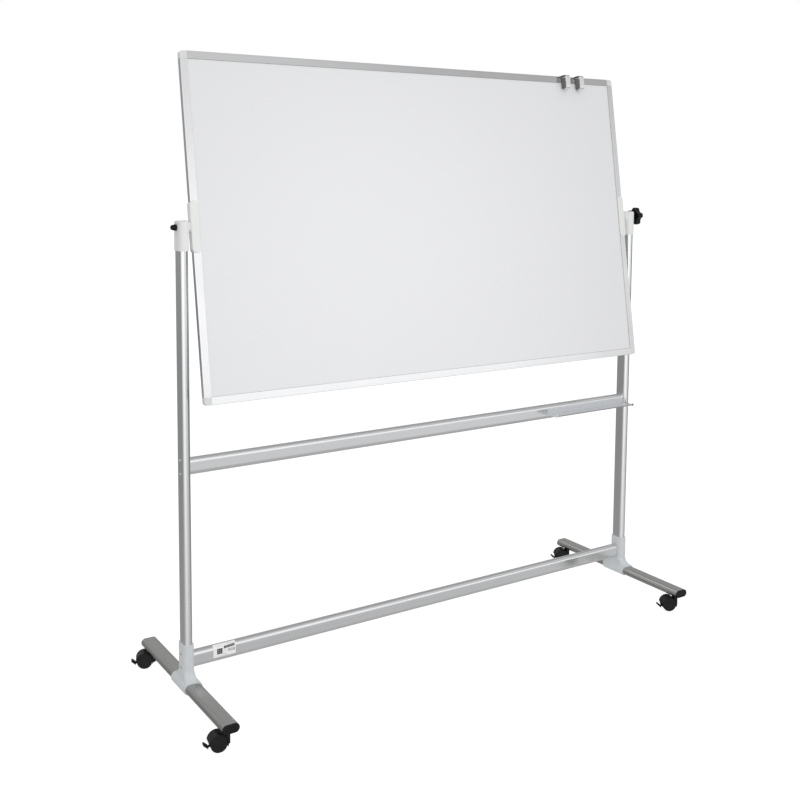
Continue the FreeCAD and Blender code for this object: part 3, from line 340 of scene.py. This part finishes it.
def soft_anodised(name, colour, axis, roughness):
    """A duller, paler anodising that scatters most light, with painted shade darkening the lip's front."""
    finish = Finish(name, colour, roughness, metallic=0.35)
    drawn = finish.stretched(tuple(1 if letter == axis else 300 for letter in "xyz"))
    lines = finish.noise(drawn, 1.0, detail=3)
    cloud = finish.noise(finish.place, 12, detail=4, roughness=0.6)
    front = -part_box("pen_tray")[0].y
    # painted shade: the lip's front face is darkened by position
    lip_painted_shade_mask = finish.spread(finish.along((0, -1, 0)), 0, 1, at=(front - 0.8 * MM, front - 0.3 * MM))
    tray_tone = finish.mixed(finish.spread(lines, 0.2, 0.8), shade(colour, 0.97), shade(colour, 1.03))
    lip_painted_shade_colour = finish.mixed(lines, shade(colour, 0.38), shade(colour, 0.46))
    finish.colour_from(finish.blend(lip_painted_shade_mask, tray_tone, lip_painted_shade_colour))
    finish.vary(roughness, cloud, -0.05, 0.05, lines, 0.03, 0.03)
    finish.bump(lines, 0.000003, 0.5)
    return finish.material


SLOT_FINISH = {
    "anodised_aluminium": rails,
    "foot_aluminium": foot_metal,
    "enamelled_steel": enamel,
    "core_board": board_stock(),
    "light_plastic": pale_plastic,
    "grey_casting": casting,
    "black_plastic": black,
    "wheel_plastic": rolling_black,
    "zinc_steel": zinc,
    "chrome_strip": clip_steel(),
    "label_paper": paper,
}
NODE_FINISH = {
    # painted shade: the top member takes a copy of the aluminium darkened to 0.74
    "frame_top": extruded("anodised_top_painted_shade", shade(ALUMINIUM, 0.74), "x"),
    "upper_crossbar": bars,
    "lower_crossbar": bars,
    "frame_left": stiles,
    "frame_right": stiles,
    "upright_left": posts,
    "upright_right": posts,
    "pen_tray": soft_anodised("anodised_tray", (0.72, 0.735, 0.76), "x", 0.42),
    "tray_end_cap_left": moulded("moulded_tray_cap", (0.74, 0.76, 0.735), 0.4),
    # painted shade: the right end cap is a darkened copy of the left cap's plastic
    "tray_end_cap_right": moulded("moulded_tray_cap_painted_shade", (0.30, 0.31, 0.305), 0.4),
    "caster_stems": stem_steel,
    "star_knob": glossy_black,
    "dome_nut": glossy_black,
}
corner_plastic = moulded("moulded_corner", (0.75, 0.76, 0.755), 0.38)
for subpart in frame["record"]["subparts"]:
    if subpart["node"].startswith("corner_cap"):
        NODE_FINISH[subpart["node"]] = corner_plastic
    node = frame["nodes"][subpart["node"]]
    finish = NODE_FINISH.get(subpart["node"], SLOT_FINISH[subpart["material_slot"]])
    node.data.materials.clear()
    node.data.materials.append(finish)


# ---------------------------------------------------------------- small printed details, and painted shade in the screw recesses

def boxes(bm, corners):
    """Adds boxes, each given by its low and high corner."""
    for low, high in corners:
        low, high = Vector(low), Vector(high)
        made = bmesh.ops.create_cube(bm, size=1)["verts"]
        middle, span = (low + high) / 2, high - low
        for vertex in made:
            vertex.co = middle + Vector(part * size for part, size in zip(vertex.co, span))


def label_prints():
    """Generic marks on the label: a square of blocks, a broken bar, a ruled block and rules."""
    low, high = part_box("label")
    flat = 20.5 * MM
    bend = -low.y
    lift = 0.05 * MM

    def on_label(across, up):
        """A point just off the label, whose top bends over the tube."""
        up *= MM
        turn = max(0.0, up - flat) / bend
        reach = bend + lift
        return low.x + across * MM, -reach * cos(turn), low.z + min(up, flat) + reach * sin(turn)

    def mark(bm, left, bottom, width, height):
        steps = 6
        rows = []
        for step in range(steps + 1):
            up = bottom + height * step / steps
            rows.append([bm.verts.new(on_label(across, up)) for across in (left, left + width)])
        for lower, upper in zip(rows, rows[1:]):
            bm.faces.new((lower[0], lower[1], upper[1], upper[0]))

    # each mark is left, bottom, width and height in millimetres
    blocks = [(10.4 + 5.3 * column, 7.5 + 5.1 * row, 4.9, 4.7)
              for column in range(3) for row in range(3)]
    heavy = [(30 + 3.9 * step, 19.8 + 0.25 * step, 3.3, 6.4) for step in range(8)]
    ruled = [(43, 9.6 + 2.1 * row, 18, 1.2) for row in range(4)]
    ruled += [(43, 9.6, 1.2, 8), (59.8, 9.6, 1.2, 8)]
    faint = [(12, 28.4, 10, 0.9), (40, 30.2, 12, 0.9), (29, 14.5, 8, 0.8),
             (26, 4.6, 12, 0.9), (18, 1.9, 26, 0.7)]
    prints = (("label_code", blocks + heavy, ink_and_recess_shade), ("label_rules", ruled + faint, pale_ink))
    for name, marks, finish in prints:
        mesh = mesh_from(name, lambda bm, marks=marks: [mark(bm, *place) for place in marks])
        add_piece(name, mesh, "stand", finish)


def painted_screw_recess_shade():
    """Painted shade: a thin near-black cross on the head of every crossbar screw, where its cross recess would be.
    """
    low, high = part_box("crossbar_screws")
    port = 18 * MM
    arm, blade, lift, depth = 1.7 * MM, 0.45 * MM, 0.03 * MM, 0.2 * MM
    crosses = []
    for bar, seat in (("upper_crossbar", 1.0), ("lower_crossbar", 0)):
        bar_low, bar_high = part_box(bar)
        middle = (bar_low.z + bar_high.z) / 2
        for head, side in ((low.x + seat * MM, -1), (high.x - seat * MM, 1)):
            for height in (middle - port, middle + port):
                near, far = sorted((head + side * lift, head - side * depth))
                for wide, tall in ((arm, blade), (blade, arm)):
                    crosses.append(((near, -wide, height - tall), (far, wide, height + tall)))
    mesh = mesh_from("painted_screw_recess_shade", lambda bm: boxes(bm, crosses))
    add_piece("painted_screw_recess_shade", mesh, "stand", ink_and_recess_shade)


label_prints()
painted_screw_recess_shade()


# ---------------------------------------------------------------- studio

FLOOR_REACH = 60
floor_mesh = mesh_from(
    "floor", lambda bm: bmesh.ops.create_grid(bm, x_segments=1, y_segments=1, size=FLOOR_REACH))
floor = bpy.data.objects.new("floor", floor_mesh)
scene.collection.objects.link(floor)
floor.visible_glossy = False
floor.visible_diffuse = False
floor_finish = Finish(
    "pale_floor", (0.2, 0.2, 0.2), 0.9,
    specular_ior_level=0.0, emission_color=(1, 1, 1, 1), emission_strength=0.93)
floor_tone = floor_finish.noise(floor_finish.place, 0.7)
floor_finish.colour_from(floor_finish.mixed(floor_tone, (0.19, 0.19, 0.19), (0.21, 0.21, 0.21)))
floor_mesh.materials.append(floor_finish.material)


def studio_world():
    """A white sweep to the camera. Reflections find a dimmer room behind, a bright band in front,
    three dim patches and two bright ones. Matt surfaces are lit by a separate soft gradient."""
    world = bpy.data.worlds.new("studio")
    world.use_nodes = True
    tree = world.node_tree
    tree.nodes.clear()

    def new(kind):
        return tree.nodes.new("ShaderNode" + kind)

    def ramp(source, stops):
        node = new("ValToRGB")
        node.color_ramp.interpolation = "EASE"
        elements = node.color_ramp.elements
        while len(elements) < len(stops):
            elements.new(0.5)
        for element, (place, level) in zip(elements, stops):
            element.position = place
            element.color = (level, level, level, 1)
        tree.links.new(source, node.inputs["Fac"])
        return node.outputs["Color"]

    def scaled(source, factor, offset):
        node = new("Math")
        node.operation = "MULTIPLY_ADD"
        tree.links.new(source, node.inputs[0])
        node.inputs[1].default_value = factor
        node.inputs[2].default_value = offset
        return node.outputs["Value"]

    def blend(factor, first, second, kind="MIX"):
        node = new("Mix")
        node.data_type = "RGBA"
        node.blend_type = kind
        if isinstance(factor, float):
            node.inputs["Factor"].default_value = factor
        else:
            tree.links.new(factor, node.inputs["Factor"])
        tree.links.new(first, node.inputs["A"])
        tree.links.new(second, node.inputs["B"])
        return node.outputs["Result"]

    def toward(direction):
        """How nearly a ray points in a direction, 1 where it points straight there."""
        node = new("VectorMath")
        node.operation = "DOT_PRODUCT"
        tree.links.new(ray, node.inputs[0])
        node.inputs[1].default_value = Vector(direction).normalized()
        return node.outputs["Value"]

    ray = new("TexCoord").outputs["Generated"]
    split = new("SeparateXYZ")
    tree.links.new(ray, split.inputs["Vector"])
    height = scaled(split.outputs["Z"], 0.5, 0.5)
    # levels are halved in the ramps, because a ramp's colours stop at 1
    front = ramp(height, (
        (0.0, 0.25), (0.28, 0.27), (0.38, 0.37), (0.456, 0.50), (0.52, 0.58), (0.57, 0.72),
        (0.62, 0.68), (0.68, 0.48), (0.76, 0.46), (0.85, 0.42), (0.92, 0.26), (1.0, 0.26)))
    back = ramp(height, (
        (0.0, 0.25), (0.40, 0.145), (0.5, 0.18), (0.57, 0.21), (0.66, 0.23),
        (0.71, 0.30), (0.80, 0.2), (0.90, 0.2), (1.0, 0.26)))
    level = blend(scaled(split.outputs["Y"], -2.4, 0.25), back, front)
    # direction, then where the patch starts and where it is full, then how much light it leaves
    dim_patches = (
        ((1, -0.15, 0.05), 0.80, 0.95, 0.38),
        ((0.72, -0.56, 0.40), 0.93, 0.985, 0.6),
        ((0.84, -0.55, -0.05), 0.95, 0.99, 0.66),
    )
    for centre, start, full, left in dim_patches:
        patch = ramp(toward(centre), ((start, 1.0), (full, left)))
        level = blend(1.0, level, patch, "MULTIPLY")
    # the same, then how much light it adds
    bright_patches = (
        ((-0.55, -0.82, -0.12), 0.80, 0.96, 0.2),
        ((-0.2, 0.45, 0.87), 0.90, 0.98, 0.36),
    )
    for centre, start, full, added in bright_patches:
        level = blend(1.0, level, ramp(toward(centre), ((start, 0.0), (full, added))), "ADD")

    lamp_side = scaled(toward((0.05, -0.8, 0.6)), 0.5, 0.5)
    soft = ramp(lamp_side, ((0.0, 0.40), (0.3, 0.34), (0.5, 0.31), (0.8, 0.39), (1.0, 0.45)))
    level = blend(new("LightPath").outputs["Is Diffuse Ray"], level, soft)

    room = new("Background")
    room.inputs["Strength"].default_value = 2.0
    tree.links.new(level, room.inputs["Color"])
    sweep = new("Background")
    sweep.inputs["Color"].default_value = (1, 1, 1, 1)
    sweep.inputs["Strength"].default_value = 1.0
    seen = new("MixShader")
    tree.links.new(new("LightPath").outputs["Is Camera Ray"], seen.inputs["Fac"])
    tree.links.new(room.outputs["Background"], seen.inputs[1])
    tree.links.new(sweep.outputs["Background"], seen.inputs[2])
    output = new("OutputWorld")
    tree.links.new(seen.outputs["Shader"], output.inputs["Surface"])
    scene.world = world


def soft_light(name, place, target, size, power, glossy):
    light = bpy.data.lights.new(name, "AREA")
    light.shape = "RECTANGLE"
    light.size, light.size_y = size
    light.energy = power
    lamp = bpy.data.objects.new(name, light)
    scene.collection.objects.link(lamp)
    lamp.location = place
    lamp.rotation_euler = (Vector(target) - Vector(place)).to_track_quat("-Z", "Y").to_euler()
    lamp.visible_glossy = glossy
    lamp.visible_camera = False
    return lamp


studio_world()
soft_light("board_fill", (-0.2, -1.35, 1.38), (-0.17, 0, 1.26), (0.5, 0.5), 3.8, glossy=False)


# ---------------------------------------------------------------- camera

def aim_camera():
    """Standing to the left of the board and looking to the right, nearly level."""
    yaw, pitch, roll = radians(32.438), radians(-5.267), radians(0.307)
    forward = Vector((sin(yaw) * cos(pitch), cos(yaw) * cos(pitch), sin(pitch)))
    level_right = Vector((cos(yaw), -sin(yaw), 0))
    level_up = level_right.cross(forward)
    right = level_right * cos(roll) + level_up * sin(roll)
    up = level_up * cos(roll) - level_right * sin(roll)
    lens = bpy.data.cameras.new("camera")
    lens.sensor_width = 36
    lens.lens = 47.62
    lens.shift_x = 0.0241
    lens.shift_y = -0.1628
    lens.clip_start, lens.clip_end = 0.05, 200
    camera = bpy.data.objects.new("camera", lens)
    scene.collection.objects.link(camera)
    camera.matrix_world = Matrix.Translation((-1.77419, -2.50372, 1.3852)) @ Matrix((
        (right.x, up.x, -forward.x, 0),
        (right.y, up.y, -forward.y, 0),
        (right.z, up.z, -forward.z, 0),
        (0, 0, 0, 1),
    ))
    scene.camera = camera


aim_camera()
scene.view_settings.view_transform = "Standard"
scene.view_settings.look = "None"
